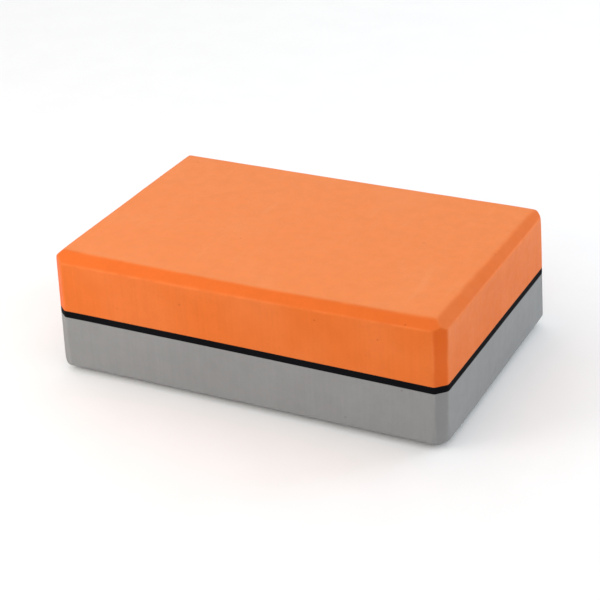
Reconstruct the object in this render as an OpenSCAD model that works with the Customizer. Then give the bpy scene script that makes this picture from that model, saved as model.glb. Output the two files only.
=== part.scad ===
// Laminated foam yoga brick: two thick foam slabs glued to a thin black core sheet,
// with every edge of the block trimmed to a flat bevel.
// Origin at the centre of the resting face. +X runs along the length, +Y towards the
// far long side, +Z up.

/* [Block] */
// Length of the block, along X
block_length = 230; // [200:1:320]
// Width of the block, along Y
block_width = 150; // [120:1:200]
// Height of the block, along Z
block_height = 73; // [50:1:110]

/* [Layers] */
// Thickness of the black foam sheet in the middle
core_thickness = 3.5; // [2:0.5:12]
// Thickness of each adhesive film beside the middle sheet
bond_thickness = 0.2; // [0.1:0.05:0.4]

/* [Bevels] */
// How far the bevels cut in across the top and bottom faces and across each upright corner
bevel_run = 5.6; // [2:0.1:15]
// How far the top and bottom bevels cut down the sides
bevel_drop = 4.4; // [2:0.1:15]

/* [Hidden] */

upper_colour = "#ee7c44";
core_colour = "#161618";
bond_colour = "#221e1b";
lower_colour = "#92908c";

// the two slabs share what the core and its adhesive leave
slab_thickness = (block_height - core_thickness - 2 * bond_thickness) / 2;

// heights of the four glued planes
lower_bond_bottom = slab_thickness;
core_bottom = lower_bond_bottom + bond_thickness;
core_top = core_bottom + core_thickness;
upper_bond_top = core_top + bond_thickness;

// a rectangle centred on the origin, its corners cut by run along the width and drop along the height
module bevelled_rectangle(width, height, run, drop) {
    x = width / 2;
    y = height / 2;
    polygon([
        [-x + run, -y], [x - run, -y],
        [x, -y + drop], [x, y - drop],
        [x - run, y], [-x + run, y],
        [-x, y - drop], [-x, -y + drop]
    ]);
}

// the whole block as the space that three bevelled prisms share
module block_envelope() {
    intersection() {
        // plan view: the four upright corners
        linear_extrude(height = block_height)
            bevelled_rectangle(block_length, block_width, bevel_run, bevel_run);
        // end view: the bevels that run along the length
        translate([0, 0, block_height / 2])
            rotate([90, 0, 90])
                linear_extrude(height = block_length, center = true)
                    bevelled_rectangle(block_width, block_height, bevel_run, bevel_drop);
        // side view: the bevels that run along the width
        translate([0, 0, block_height / 2])
            rotate([90, 0, 0])
                linear_extrude(height = block_width, center = true)
                    bevelled_rectangle(block_length, block_height, bevel_run, bevel_drop);
    }
}

// the slice of the block between two heights
module layer(bottom, top) {
    intersection() {
        block_envelope();
        translate([-block_length / 2, -block_width / 2, bottom])
            cube([block_length, block_width, top - bottom]);
    }
}

// thick slab that the block rests on
module lower_foam_slab() {
    color(lower_colour) layer(0, lower_bond_bottom);
}

// adhesive under the core, trimmed flush with the foam
module lower_bond_film() {
    color(bond_colour) layer(lower_bond_bottom, core_bottom);
}

// thin dense sheet between the two slabs
module core_sheet() {
    color(core_colour) layer(core_bottom, core_top);
}

// adhesive over the core, trimmed flush with the foam
module upper_bond_film() {
    color(bond_colour) layer(core_top, upper_bond_top);
}

// thick slab that takes the hand or foot
module upper_foam_slab() {
    color(upper_colour) layer(upper_bond_top, block_height);
}

lower_foam_slab();
lower_bond_film();
core_sheet();
upper_bond_film();
upper_foam_slab();
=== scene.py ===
"""Looks of the laminated foam yoga brick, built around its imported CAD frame.

Every length is in metres, in the frame's own axes: +X along the brick, +Y towards its far long
side, +Z up from the floor. Each foam layer is a dense closed mesh whose bevels wander a little, as
hand-trimmed foam does, and each material is procedural.
"""
import math

import bpy
import numpy as np
from mathutils import Matrix, Vector


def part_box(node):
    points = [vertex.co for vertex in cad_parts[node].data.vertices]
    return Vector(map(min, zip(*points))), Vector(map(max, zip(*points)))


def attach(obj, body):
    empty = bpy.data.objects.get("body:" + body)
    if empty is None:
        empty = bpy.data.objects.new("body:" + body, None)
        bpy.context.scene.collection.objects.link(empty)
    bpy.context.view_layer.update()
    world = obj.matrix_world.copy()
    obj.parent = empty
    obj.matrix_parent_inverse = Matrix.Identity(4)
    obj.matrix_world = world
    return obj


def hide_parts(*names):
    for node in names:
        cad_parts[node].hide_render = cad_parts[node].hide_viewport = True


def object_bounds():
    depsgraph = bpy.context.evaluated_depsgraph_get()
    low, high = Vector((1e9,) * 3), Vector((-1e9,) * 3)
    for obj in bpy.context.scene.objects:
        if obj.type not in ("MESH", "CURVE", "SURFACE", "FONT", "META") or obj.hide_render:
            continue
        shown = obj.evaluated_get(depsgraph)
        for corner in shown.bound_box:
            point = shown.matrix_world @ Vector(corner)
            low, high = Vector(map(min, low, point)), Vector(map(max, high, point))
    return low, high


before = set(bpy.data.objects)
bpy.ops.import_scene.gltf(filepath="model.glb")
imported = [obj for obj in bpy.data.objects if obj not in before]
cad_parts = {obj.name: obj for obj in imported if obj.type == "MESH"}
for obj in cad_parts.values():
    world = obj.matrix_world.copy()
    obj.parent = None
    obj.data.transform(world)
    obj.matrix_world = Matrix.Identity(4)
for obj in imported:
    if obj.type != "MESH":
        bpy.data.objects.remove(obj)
CAD_LOW, CAD_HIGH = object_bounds()

MM = 0.001
HALF_LENGTH = CAD_HIGH.x
HALF_WIDTH = CAD_HIGH.y
HEIGHT = CAD_HIGH.z

# How the foam's surface departs from the exact solid, always inwards
ARRIS_BLEND = 0.75 * MM      # width over which two faces blend at an arris
FOOT_BLEND = 1.1 * MM        # the same at the floor, where the arrises are rubbed a little rounder
FOOT_ZONE = 12 * MM
KNOCK_REACH = 11 * MM        # how far a knocked corner's extra rounding spreads
NIP_REACH = 5 * MM           # how far a bevel's deeper start spreads
JOINT_BLEND = 0.18 * MM      # width over which a layer's sides blend into its glued planes
WAVE_DEPTH = 0.16 * MM       # how far the faces dip
WAVE_LENGTH = 70 * MM
TRIM_WANDER = 0.16 * MM      # how far a bevel wanders along its edge
TRIM_WAVE = 26 * MM
GLUE_DIP = 0.75 * MM         # how much lower the glued planes lie at the right end
GLUE_WANDER = 0.08 * MM
GLUE_END_DIP = 0.35 * MM     # a further drop right at the left end
GLUE_END_REACH = 12 * MM
END_BEVEL_COLOUR_SHARE = 0.55   # how far the end bevels take the bevel colour and its painted light, against 1 elsewhere

# Mesh spacing: fine near the bevels and coarser across the flats
EDGE_ZONE = 9 * MM
FINE_STEP = 0.4 * MM
SLAB_STEP = 2.0 * MM
SHEET_STEP = 6.0 * MM
ROOT_STEPS = 26              # halvings of the distance when a vertex settles on the surface
SKIN_SOFTNESS = 0.35 * ARRIS_BLEND
ARRIS_WIDTH = 0.8 * ARRIS_BLEND

# Each bevel's size as a share of the CAD bevel, at the start, middle and end of its edge. Edges
# along X start at the left end, and edges along Y start at the front.
TRIM = {
    "top_front": {"run": (1.24, 0.86, 1.38), "drop": (1.26, 1.16, 0.80)},
    "top_back": {"run": (0.86, 0.99, 0.91), "drop": (0.95, 1.00, 0.90)},
    "top_left": {"run": (1.05, 0.95, 1.00), "drop": (0.96, 0.98, 0.99), "nip": 0.5},
    "top_right": {"run": (1.20, 1.12, 0.93), "drop": (0.88, 0.78, 0.72)},
    "bottom_front": {"run": (1.04, 1.08, 1.14), "drop": (1.00, 1.05, 1.00)},
    "bottom_back": {"run": (1.00, 0.92, 1.05), "drop": (0.95, 1.00, 1.05)},
    "bottom_left": {"run": (0.95, 1.00, 1.05), "drop": (1.00, 1.05, 0.95)},
    "bottom_right": {"run": (1.00, 1.05, 1.00), "drop": (0.90, 1.06, 1.26)},
}
# Seeds of the wander of each run along X. Along Y they are 10 higher, and for a drop 1 higher.
TRIM_SEEDS = {"top_": 7, "bottom_": 10}
# Corners knocked rounder than the rest, by the signs of x and y and the share of the height
KNOCKED = {
    (1, -1, 0.0): 3.2 * MM,
    (1, 1, 1.0): 1.2 * MM,
    (-1, -1, 0.0): 0.8 * MM,
    (-1, 1, 0.0): 2.0 * MM,
}
# Each upright corner's cut into the long side (x) and into the end (y), at the floor and at the top
CORNERS = {
    "front_left": {"x": (0.95, 1.28), "y": (0.66, 1.24)},
    "front_right": {"x": (0.86, 1.14), "y": (1.12, 0.92)},
    "back_left": {"x": (0.88, 1.08), "y": (0.92, 1.12)},
    "back_right": {"x": (0.86, 1.14), "y": (0.20, 1.50)},
}


# ---------------------------------------------------------------- shape of the block

def cad_bevel():
    """Run and drop of the CAD bevels: how far the upper slab's flat top and its ends stop short."""
    points = np.array([v.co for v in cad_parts["upper_foam_slab"].data.vertices])
    flat_top = points[points[:, 2] > HEIGHT - 0.01 * MM]
    end_face = points[points[:, 0] > HALF_LENGTH - 0.01 * MM]
    return HALF_LENGTH - flat_top[:, 0].max(), HEIGHT - end_face[:, 2].max()


BEVEL_RUN, BEVEL_DROP = cad_bevel()


def waves(points, length, seed, count=7):
    """A smooth random height between -1 and 1 at each point, of about that wavelength."""
    rng = np.random.default_rng(seed)
    total = np.zeros(len(points))
    for _ in range(count):
        direction = rng.normal(size=3)
        direction /= np.linalg.norm(direction)
        stretch = rng.uniform(0.6, 1.7)
        phase = rng.uniform(0, 2 * math.pi)
        total += np.sin(points @ direction * (2 * math.pi * stretch / length) + phase)
    return total / count


def along(shares, t):
    """The curve through the three shares at t = 0, 0.5 and 1."""
    start, middle, end = shares
    return (
        start * (1 - t) * (1 - 2 * t)
        + 4 * middle * t * (1 - t)
        + end * t * (2 * t - 1)
    )


def blend_max(a, b, radius):
    """The larger of a and b, rounded off over radius where they meet."""
    near = np.maximum(radius - np.abs(a - b), 0) / radius
    return np.maximum(a, b) + near * near * radius / 4


def cut(depth_a, depth_b, run_a, run_b):
    """Height above a bevel that starts run_a and run_b before the two faces meet."""
    share = (depth_a + run_a) / run_a + (depth_b + run_b) / run_b - 1
    return share * run_a * run_b / np.hypot(run_a, run_b)


def edge_cut(points, level, face_depth, flat_depth, axis, negative, positive):
    """Height above the bevel along one pair of opposite edges, each with its own trim."""
    half = HALF_LENGTH if axis == 0 else HALF_WIDTH
    t = np.clip(points[:, axis] / (2 * half) + 0.5, 0, 1)
    at_start = np.exp(-2 * half * t / NIP_REACH)
    on_negative = points[:, 1 - axis] < 0
    sizes = {}
    cad_sizes = (("run", BEVEL_RUN), ("drop", BEVEL_DROP))
    for step, (size, cad_size) in enumerate(cad_sizes):
        shares = []
        for trim in (TRIM[level + negative], TRIM[level + positive]):
            nip = trim.get("nip", 0) if size == "drop" else 0
            shares.append(along(trim[size], t) + nip * at_start)
        share = np.where(on_negative, *shares)
        seed = TRIM_SEEDS[level] + 10 * axis + step
        wander = waves(points, TRIM_WAVE, seed) * TRIM_WANDER
        sizes[size] = share * cad_size + wander
    return cut(face_depth, flat_depth, sizes["run"], sizes["drop"])


def corner_cut(points, end_depth, side_depth):
    """Height above the four upright bevels."""
    t = np.clip(points[:, 2] / HEIGHT, 0, 1)
    run_x = np.zeros(len(points))
    run_y = np.zeros(len(points))
    for name, shares in CORNERS.items():
        at_front = (points[:, 1] < 0) == name.startswith("front")
        at_left = (points[:, 0] < 0) == name.endswith("left")
        here = at_front & at_left
        run_x = np.where(here, shares["x"][0] + (shares["x"][1] - shares["x"][0]) * t, run_x)
        run_y = np.where(here, shares["y"][0] + (shares["y"][1] - shares["y"][0]) * t, run_y)
    wander = waves(points, TRIM_WAVE, seed=5) * TRIM_WANDER
    return cut(end_depth, side_depth, run_x * BEVEL_RUN + wander, run_y * BEVEL_RUN + wander)


def block_heights(points):
    """Signed height of each point above each face and each bevel of the block."""
    end = np.abs(points[:, 0]) - HALF_LENGTH
    side = np.abs(points[:, 1]) - HALF_WIDTH
    top = points[:, 2] - HEIGHT
    bottom = -points[:, 2]
    flats = [end, side, top, bottom]
    bevels = [
        edge_cut(points, "top_", side, top, 0, "front", "back"),
        edge_cut(points, "top_", end, top, 1, "left", "right"),
        edge_cut(points, "bottom_", side, bottom, 0, "front", "back"),
        edge_cut(points, "bottom_", end, bottom, 1, "left", "right"),
        corner_cut(points, end, side),
    ]
    return flats, bevels


def sagged(points):
    """The points moved down with the glued planes, which lie low at the right end."""
    t = np.clip(points[:, 0] / (2 * HALF_LENGTH) + 0.5, 0, 1)
    flat = points * (1, 1, 0)
    dip = GLUE_DIP * t * t + GLUE_WANDER * waves(flat, WAVE_LENGTH, seed=9)
    dip += GLUE_END_DIP * np.exp(-2 * HALF_LENGTH * t / GLUE_END_REACH)
    from_face = np.minimum(points[:, 2], HEIGHT - points[:, 2])
    share = np.clip((from_face - EDGE_ZONE) / (HEIGHT / 2 - 2 * EDGE_ZONE), 0, 1)
    moved = points.copy()
    moved[:, 2] -= dip * share * share * (3 - 2 * share)
    return moved


def arris_blend(points):
    """How widely two faces blend at each point."""
    near_floor = np.clip(1 - points[:, 2] / FOOT_ZONE, 0, 1)
    blend = ARRIS_BLEND + (FOOT_BLEND - ARRIS_BLEND) * near_floor * near_floor
    for (x_sign, y_sign, height_share), extra in KNOCKED.items():
        corner = (x_sign * HALF_LENGTH, y_sign * HALF_WIDTH, height_share * HEIGHT)
        away = ((points - corner) ** 2).sum(axis=1) / KNOCK_REACH**2
        blend = blend + extra * np.exp(-away)
    return blend


def block_field(points, low, high, nicks):
    """Below 0 inside the layer between two heights, above 0 outside it."""
    flats, bevels = block_heights(points)
    blend = arris_blend(points)
    field = flats[0]
    for height in flats[1:] + bevels:
        field = blend_max(field, height, blend)
    field = field + WAVE_DEPTH * (0.5 + 0.5 * waves(points, WAVE_LENGTH, seed=3))
    for centre, radius, depth in nicks:
        away = ((points - centre) ** 2).sum(axis=1) / radius**2
        field = field + depth * np.exp(-away)
    if low > 0:
        field = blend_max(field, low - points[:, 2], JOINT_BLEND)
    if high < HEIGHT:
        field = blend_max(field, points[:, 2] - high, JOINT_BLEND)
    return field


# ---------------------------------------------------------------- meshes

def graded(low, high, low_zone, high_zone, fine, coarse):
    """Positions from low to high, fine in the zone at each end and coarse between."""
    first = np.linspace(low, low + low_zone, max(2, round(low_zone / fine)), endpoint=False)
    middle_length = high - high_zone - low - low_zone
    middle_steps = max(1, round(middle_length / coarse))
    middle = np.linspace(low + low_zone, high - high_zone, middle_steps, endpoint=False)
    last = np.linspace(high - high_zone, high, max(2, round(high_zone / fine)) + 1)
    return np.concatenate([first, middle, last])


def box_grid(xs, ys, zs):
    """Points of a lattice that lie on the surface of its box, and the outward quads between them."""
    shape = (len(xs), len(ys), len(zs))
    steps = np.indices(shape)
    outer = np.zeros(shape, bool)
    for axis in range(3):
        outer |= (steps[axis] == 0) | (steps[axis] == shape[axis] - 1)
    index = np.full(shape, -1)
    index[outer] = np.arange(outer.sum())
    points = np.stack([xs[steps[0][outer]], ys[steps[1][outer]], zs[steps[2][outer]]], axis=1)
    quads = []
    for axis in range(3):
        for end in (0, -1):
            sheet = np.take(index, end, axis=axis)
            ring = [sheet[:-1, :-1], sheet[1:, :-1], sheet[1:, 1:], sheet[:-1, 1:]]
            if (end == 0) != (axis == 1):
                ring.reverse()
            quads.append(np.stack(ring, axis=-1).reshape(-1, 4))
    return points, np.concatenate(quads)


def settle(points, core_low, core_high, field):
    """Moves each point of the box in, towards the core box, until it lies on the field's surface."""
    core = np.clip(points, core_low, core_high)
    inside = np.zeros(len(points))
    outside = np.ones(len(points))
    for _ in range(ROOT_STEPS):
        middle = (inside + outside) / 2
        is_in = field(core + (points - core) * middle[:, None]) < 0
        inside = np.where(is_in, middle, inside)
        outside = np.where(is_in, outside, middle)
    return core + (points - core) * inside[:, None]


def mesh_object(name, points, quads):
    """A smooth-shaded mesh object."""
    mesh = bpy.data.meshes.new(name)
    mesh.from_pydata(points.tolist(), [], quads.tolist())
    mesh.polygons.foreach_set("use_smooth", [True] * len(mesh.polygons))
    mesh.update()
    made = bpy.data.objects.new(name, mesh)
    bpy.context.scene.collection.objects.link(made)
    return made


def store(piece, name, values):
    """Keeps one number for each vertex, for the materials to read."""
    attribute = piece.data.attributes.new(name, "FLOAT", "POINT")
    attribute.data.foreach_set("value", values.astype(np.float32))


def mark_surface(piece, points):
    """Stores each vertex's shares of flat skin, bevel, corner and arris, and on an end its share of
    painted sheen, which grows towards the top.
    """
    (end, side, top, bottom), bevels = block_heights(points)
    groups = {
        "side": np.maximum(end, side),
        "skin": np.maximum(top, bottom),
        "bevel": np.max(bevels[:4], axis=0),
        "corner": bevels[4],
    }
    heights = np.stack(list(groups.values()))
    shares = np.exp((heights - heights.max(axis=0)) / SKIN_SOFTNESS)
    shares /= shares.sum(axis=0)
    along_ends = np.maximum(bevels[1], bevels[3]) > np.maximum(bevels[0], bevels[2])
    # the end bevels take less of the bevel colour, so less of its painted light from above the front
    shares[2] *= np.where(along_ends, END_BEVEL_COLOUR_SHARE, 1.0)
    for name, share in zip(groups, shares):
        if name != "side":
            store(piece, name, share)
    ordered = np.sort(np.stack([end, side, top, bottom] + bevels), axis=0)
    lead = ordered[-1] - ordered[-2]
    store(piece, "arris", np.exp(-((lead / ARRIS_WIDTH) ** 2)))
    above_middle = np.clip(2 * points[:, 2] / HEIGHT - 1, 0, 1)
    store(piece, "end_sheen_mask", np.where(end > side, above_middle, 0))


def scattered_nicks(low, high, count, seed):
    """Small shallow dents on the sides of the layer between two heights, most on its bevel's arris."""
    rng = np.random.default_rng(seed)
    arris = HEIGHT - BEVEL_DROP if high > HEIGHT - MM else BEVEL_DROP
    nicks = []
    for _ in range(count):
        x = rng.uniform(-1, 1) * HALF_LENGTH
        y = rng.uniform(-1, 1) * HALF_WIDTH
        if rng.random() < 0.35:
            x = math.copysign(HALF_LENGTH, x)
        else:
            y = math.copysign(HALF_WIDTH, y)
        on_arris = low < arris < high and rng.random() < 0.8
        z = arris if on_arris else rng.uniform(low, high)
        radius = rng.uniform(0.9, 2.6) * MM
        depth = rng.uniform(0.10, 0.34) * MM
        nicks.append((np.array([x, y, z]), radius, depth))
    return nicks


def layer_mesh(name, node, step, nick_count=0, seed=0):
    """A closed mesh for one layer of the block, between the heights of its CAD node."""
    low, high = (corner.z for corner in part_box(node))
    bottom_zone = EDGE_ZONE if low < MM else min(MM, (high - low) / 3)
    top_zone = EDGE_ZONE if high > HEIGHT - MM else min(MM, (high - low) / 3)
    xs = graded(-HALF_LENGTH, HALF_LENGTH, EDGE_ZONE, EDGE_ZONE, FINE_STEP, step)
    ys = graded(-HALF_WIDTH, HALF_WIDTH, EDGE_ZONE, EDGE_ZONE, FINE_STEP, step)
    zs = graded(low, high, bottom_zone, top_zone, FINE_STEP, step)
    points, quads = box_grid(xs, ys, zs)
    core_low = np.array([-HALF_LENGTH + EDGE_ZONE, -HALF_WIDTH + EDGE_ZONE, low + bottom_zone])
    core_high = np.array([HALF_LENGTH - EDGE_ZONE, HALF_WIDTH - EDGE_ZONE, high - top_zone])
    nicks = scattered_nicks(low, high, nick_count, seed)
    points = settle(points, core_low, core_high, lambda p: block_field(p, low, high, nicks))
    piece = mesh_object(name, sagged(points), quads)
    mark_surface(piece, points)
    return piece


# ---------------------------------------------------------------- materials

class Graph:
    """A material's node tree. Each call adds one node and returns its output."""

    def __init__(self, name):
        self.material = bpy.data.materials.new(name)
        self.material.use_nodes = True
        self.tree = self.material.node_tree
        self.shader = self.tree.nodes["Principled BSDF"]
        self.place = self.add("ShaderNodeTexCoord", {}, "Object")

    def feed(self, socket, value):
        """Links a socket or sets a number or a colour."""
        if isinstance(value, bpy.types.NodeSocket):
            self.tree.links.new(value, socket)
        else:
            socket.default_value = value

    def add(self, kind, inputs, output=0, **settings):
        node = self.tree.nodes.new(kind)
        for key, value in settings.items():
            setattr(node, key, value)
        for key, value in inputs.items():
            self.feed(node.inputs[key], value)
        return node.outputs[output]

    def math(self, operation, a, b=0.0):
        return self.add("ShaderNodeMath", {0: a, 1: b}, operation=operation)

    def stretched(self, scale):
        """The object's coordinates times a scale for each axis, which is features per metre."""
        return self.add("ShaderNodeVectorMath", {0: self.place, 1: scale}, operation="MULTIPLY")

    def noise(self, scale, detail=2.0, roughness=0.5):
        """Soft noise between 0 and 1. The scale is features per metre, or one for each axis."""
        axes = scale if isinstance(scale, tuple) else (scale, scale, scale)
        inputs = {
            "Vector": self.stretched(axes),
            "Scale": 1.0,
            "Detail": detail,
            "Roughness": roughness,
        }
        return self.add("ShaderNodeTexNoise", inputs, "Fac")

    def cells(self, scale, output="Distance"):
        """Voronoi cells, by features per metre."""
        inputs = {"Vector": self.stretched((scale, scale, scale)), "Scale": 1.0}
        return self.add("ShaderNodeTexVoronoi", inputs, output)

    def between(self, value, low, high, to_low=0.0, to_high=1.0):
        """Value eased from the range low..high to the range to_low..to_high."""
        inputs = {
            "Value": value,
            "From Min": low,
            "From Max": high,
            "To Min": to_low,
            "To Max": to_high,
        }
        return self.add("ShaderNodeMapRange", inputs, interpolation_type="SMOOTHSTEP")

    def stored(self, name):
        """A number kept on the mesh by store()."""
        return self.add("ShaderNodeAttribute", {}, "Fac", attribute_name=name)

    def mix(self, factor, a, b, blend="MIX"):
        """Colour a turned into colour b."""
        node = self.tree.nodes.new("ShaderNodeMix")
        node.data_type = "RGBA"
        node.blend_type = blend
        self.feed(node.inputs["Factor"], factor)
        self.feed(node.inputs["A"], a)
        self.feed(node.inputs["B"], b)
        return node.outputs["Result"]

    def tint(self, colour, amount):
        """Colour times a number."""
        grey = self.add("ShaderNodeCombineColor", {0: amount, 1: amount, 2: amount})
        return self.mix(1.0, colour, grey, "MULTIPLY")


# How strongly each kind of mark turns the foam towards its pale colour
CLOUD_STRENGTH = 0.07
STREAK_STRENGTH = 0.03
END_SHEEN_STRENGTH = 0.13
RUB_STRENGTH = 0.15
WEAR_AND_HIGHLIGHT_STRENGTH = 0.09


def foam_material(name, body, skin, bevel, corner, pale, specular=0.07, sheen=0.05, saw=1.0):
    """Closed-cell foam: body on the sawn sides, skin on the flat faces, and the cut bevels.

    Pale is the colour that the painted sheen on the ends and the worn arrises, with their painted
    highlight, turn towards.
    """
    graph = Graph(name)
    skin_here = graph.stored("skin")
    bevel_here = graph.stored("bevel")
    corner_here = graph.stored("corner")
    cut_here = graph.math("ADD", bevel_here, corner_here)
    side_here = graph.math("SUBTRACT", graph.math("SUBTRACT", 1.0, skin_here), cut_here)
    side_here = graph.math("MAXIMUM", side_here, 0.0)

    # where the skin and bevel colours are brighter than the body, part of the difference is painted
    # light
    colour = graph.mix(skin_here, (*body, 1), (*skin, 1))
    colour = graph.mix(bevel_here, colour, (*bevel, 1))
    colour = graph.mix(corner_here, colour, (*corner, 1))

    # soft cloudy patches, from the size of a hand down to a fingertip
    clouds = graph.between(graph.noise(22, 2, 0.5), 0.42, 0.70)
    clouds = graph.math("MULTIPLY", clouds, graph.math("SUBTRACT", 1.0, bevel_here))
    colour = graph.mix(graph.math("MULTIPLY", clouds, CLOUD_STRENGTH), colour, (*pale, 1))
    streaky = graph.between(graph.noise((34, 34, 16), 2, 0.5), 0.35, 0.8)
    streaky = graph.math("MULTIPLY", streaky, side_here)
    colour = graph.mix(graph.math("MULTIPLY", streaky, STREAK_STRENGTH), colour, (*pale, 1))
    # painted sheen on the ends: paler in patches, more so towards the top
    end_sheen = graph.between(graph.noise(45, 3, 0.6), 0.3, 0.7, 0.7, 1.3)
    end_sheen = graph.math("MULTIPLY", graph.math("MULTIPLY", graph.stored("end_sheen_mask"), end_sheen), side_here)
    colour = graph.mix(graph.math("MULTIPLY", end_sheen, END_SHEEN_STRENGTH), colour, (*pale, 1))
    mottle = graph.between(graph.noise(110, 4, 0.65), 0.3, 0.7, 0.978, 1.022)
    colour = graph.tint(colour, mottle)

    # rub marks across the flat faces, along the short side
    rubs = graph.noise((130, 17, 40), 2, 0.5)
    rubs = graph.math("MULTIPLY", graph.between(rubs, 0.62, 0.78), skin_here)
    colour = graph.mix(graph.math("MULTIPLY", rubs, RUB_STRENGTH), colour, (*pale, 1))

    # saw lines down the sides, a little darker in their grooves as painted shade
    lines = graph.noise((620, 620, 16), 2, 0.6)
    line_tint = graph.between(lines, 0.3, 0.7, 1 - 0.013 * saw, 1 + 0.013 * saw)
    line_tint = graph.add(
        "ShaderNodeMix",
        {"Factor": side_here, "A": 1.0, "B": line_tint},
        "Result",
        data_type="FLOAT",
    )
    colour = graph.tint(colour, line_tint)

    # cut cells, and a few open pores, each painted darker in its hollow as shade
    cell = graph.cells(2300)
    colour = graph.tint(colour, graph.between(cell, 0.0, 0.75, 0.965, 1.02))
    pore_chance = graph.cells(95, "Color")
    pore_depth = graph.between(graph.cells(95), 0.035, 0.075, 1.0, 0.0)
    chosen = graph.math("GREATER_THAN", pore_chance, 0.74)
    pores = graph.math("MULTIPLY", pore_depth, chosen)
    colour = graph.tint(colour, graph.between(pores, 0.0, 1.0, 1.0, 0.82))

    # worn arrises, brighter partly from wear and partly as a painted highlight where the rounded
    # arrises catch the light
    arris_breakup = graph.between(graph.noise(75, 2), 0.3, 0.65, 0.25, 1.0)
    wear_and_highlight = graph.math("MULTIPLY", graph.stored("arris"), arris_breakup)
    colour = graph.mix(graph.math("MULTIPLY", wear_and_highlight, WEAR_AND_HIGHLIGHT_STRENGTH), colour, (*pale, 1))
    colour = graph.tint(colour, graph.between(wear_and_highlight, 0.0, 1.0, 1.0, 1.06))
    graph.feed(graph.shader.inputs["Base Color"], colour)

    roughness = graph.between(graph.noise(210, 3), 0.3, 0.7, 0.50, 0.60)
    roughness = graph.math("ADD", roughness, graph.math("MULTIPLY", wear_and_highlight, 0.08))
    graph.feed(graph.shader.inputs["Roughness"], roughness)
    graph.shader.inputs["Specular IOR Level"].default_value = specular
    graph.shader.inputs["Sheen Weight"].default_value = sheen
    graph.shader.inputs["Sheen Roughness"].default_value = 0.5

    saw_height = graph.math("MULTIPLY", graph.math("MULTIPLY", lines, side_here), 0.7 * saw)
    height = graph.math("ADD", graph.math("MULTIPLY", cell, 0.55), saw_height)
    height = graph.math("SUBTRACT", height, graph.math("MULTIPLY", pores, 2.0))
    bump = graph.add("ShaderNodeBump", {"Height": height, "Distance": 0.06 * MM, "Strength": 1.0})
    graph.feed(graph.shader.inputs["Normal"], bump)
    return graph.material


def adhesive_material(name, colour, rim):
    """Dried contact adhesive: dull, dark and a little uneven."""
    graph = Graph(name)
    uneven = graph.between(graph.noise(180, 3), 0.3, 0.7)
    graph.feed(graph.shader.inputs["Base Color"], graph.mix(uneven, (*colour, 1), (*rim, 1)))
    graph.feed(graph.shader.inputs["Roughness"], graph.between(uneven, 0.0, 1.0, 0.35, 0.6))
    graph.shader.inputs["Specular IOR Level"].default_value = 0.1
    bump = graph.add("ShaderNodeBump", {"Height": uneven, "Distance": 0.05 * MM, "Strength": 1.0})
    graph.feed(graph.shader.inputs["Normal"], bump)
    return graph.material


def floor_material():
    """Matt white studio paper with the faintest mottle."""
    graph = Graph("studio_paper")
    tone = graph.between(graph.noise(30, 3), 0.3, 0.7, 0.985, 1.0)
    graph.feed(graph.shader.inputs["Base Color"], graph.tint((0.96, 0.96, 0.96, 1), tone))
    graph.feed(graph.shader.inputs["Roughness"], graph.between(tone, 0.98, 1.0, 0.9, 0.95))
    graph.shader.inputs["Specular IOR Level"].default_value = 0.2
    return graph.material


# ---------------------------------------------------------------- the brick

def dress(piece, node, material):
    """Gives a piece its finish and its body, and hides the CAD node it stands for."""
    piece.data.materials.append(material)
    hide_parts(node)
    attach(piece, "root")


def build_brick():
    orange = foam_material(
        "orange_foam",
        body=(0.672, 0.144, 0.022),
        # paler partly in the skin's own tone and partly as a painted reflection of light on the top
        # face
        skin=(0.838, 0.237, 0.064),
        # brighter partly as fresh-cut colour and partly as painted light from above the front
        bevel=(0.750, 0.147, 0.021),
        corner=(0.670, 0.118, 0.013),
        pale=(0.86, 0.36, 0.16),
    )
    grey = foam_material(
        "grey_foam",
        body=(0.239, 0.238, 0.237),
        skin=(0.245, 0.244, 0.243),
        bevel=(0.229, 0.228, 0.228),
        corner=(0.225, 0.224, 0.224),
        pale=(0.36, 0.36, 0.36),
        saw=1.15,
    )
    black = foam_material(
        "black_foam",
        body=(0.005, 0.005, 0.006),
        skin=(0.005, 0.005, 0.006),
        bevel=(0.005, 0.005, 0.006),
        corner=(0.005, 0.005, 0.006),
        pale=(0.015, 0.015, 0.017),
        specular=0.008,
        sheen=0.0,
    )
    glue = adhesive_material("adhesive", (0.008, 0.007, 0.006), (0.016, 0.013, 0.011))

    upper = layer_mesh("upper_slab", "upper_foam_slab", SLAB_STEP, nick_count=44, seed=21)
    dress(upper, "upper_foam_slab", orange)
    lower = layer_mesh("lower_slab", "lower_foam_slab", SLAB_STEP, nick_count=36, seed=22)
    dress(lower, "lower_foam_slab", grey)
    core = layer_mesh("core_layer", "core_sheet", SHEET_STEP, nick_count=6, seed=23)
    dress(core, "core_sheet", black)
    for name in ("upper", "lower"):
        film = layer_mesh(name + "_bond_line", name + "_bond_film", SHEET_STEP)
        dress(film, name + "_bond_film", glue)


# ---------------------------------------------------------------- studio

FLOOR_REACH = 4.0
FLOOR_THICKNESS = 20 * MM
FLOOR_GAP = 0.05 * MM        # keeps the floor clear of the brick's underside
SOFTBOX_SIZE = 0.35


def studio_floor():
    """A wide pale floor just under the brick."""
    cells = np.linspace(-FLOOR_REACH, FLOOR_REACH, 9)
    heights = np.array([-FLOOR_GAP - FLOOR_THICKNESS, -FLOOR_GAP])
    points, quads = box_grid(cells, cells, heights)
    floor = mesh_object("studio_floor", points, quads)
    floor.data.polygons.foreach_set("use_smooth", [False] * len(floor.data.polygons))
    floor.data.materials.append(floor_material())


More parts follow.
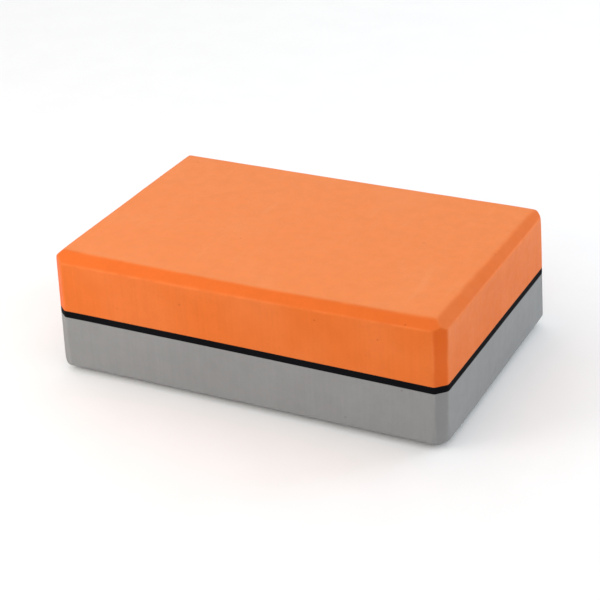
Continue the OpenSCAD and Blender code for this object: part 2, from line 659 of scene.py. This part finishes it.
def add_softbox(name, place, power, colour):
    """A square area light at that place, facing the brick, with its power in watts."""
    data = bpy.data.lights.new(name, "AREA")
    data.shape = "SQUARE"
    data.size = SOFTBOX_SIZE
    data.energy = power
    data.color = colour
    lamp = bpy.data.objects.new(name, data)
    lamp.location = place
    lamp.rotation_euler = Vector(place).to_track_quat("Z", "Y").to_euler()
    bpy.context.scene.collection.objects.link(lamp)


def studio_lights():
    """Two soft lights: a near, warm one at the front left and a farther, cool one at the back right."""
    add_softbox("left_softbox", (-0.41, -0.44, 0.28), 1.40, (1.0, 0.93, 0.85))
    add_softbox("right_softbox", (0.72, 0.66, 0.24), 2.9, (0.68, 0.86, 1.0))


def studio_world(strength):
    """Even white surroundings."""
    world = bpy.data.worlds.new("white_studio")
    world.use_nodes = True
    background = world.node_tree.nodes["Background"]
    background.inputs["Color"].default_value = (1.0, 1.0, 1.0, 1)
    background.inputs["Strength"].default_value = strength
    bpy.context.scene.world = world


def studio_camera():
    """The view of the brick from its front right, a little above, with a short telephoto lens."""
    azimuth, elevation, roll = (math.radians(a) for a in (27.81, 27.64, -2.98))
    target = Vector((-2.4, 0, 28.7)) * MM
    distance = 952.6 * MM
    back = Vector((
        math.sin(azimuth) * math.cos(elevation),
        -math.cos(azimuth) * math.cos(elevation),
        math.sin(elevation),
    ))
    level_right = Vector((0, 0, 1)).cross(back).normalized()
    level_up = back.cross(level_right)
    right = level_right * math.cos(roll) + level_up * math.sin(roll)
    up = back.cross(right)
    pose = Matrix((right, up, back)).transposed().to_4x4()
    pose.translation = target + back * distance
    data = bpy.data.cameras.new("studio_camera")
    data.lens = 102.34
    data.sensor_width = 36.0
    camera = bpy.data.objects.new("studio_camera", data)
    camera.matrix_world = pose
    bpy.context.scene.collection.objects.link(camera)
    bpy.context.scene.camera = camera


def build_studio():
    scene = bpy.context.scene
    scene.view_settings.view_transform = "Standard"
    studio_floor()
    studio_world(strength=0.95)
    studio_lights()
    studio_camera()


build_brick()
build_studio()
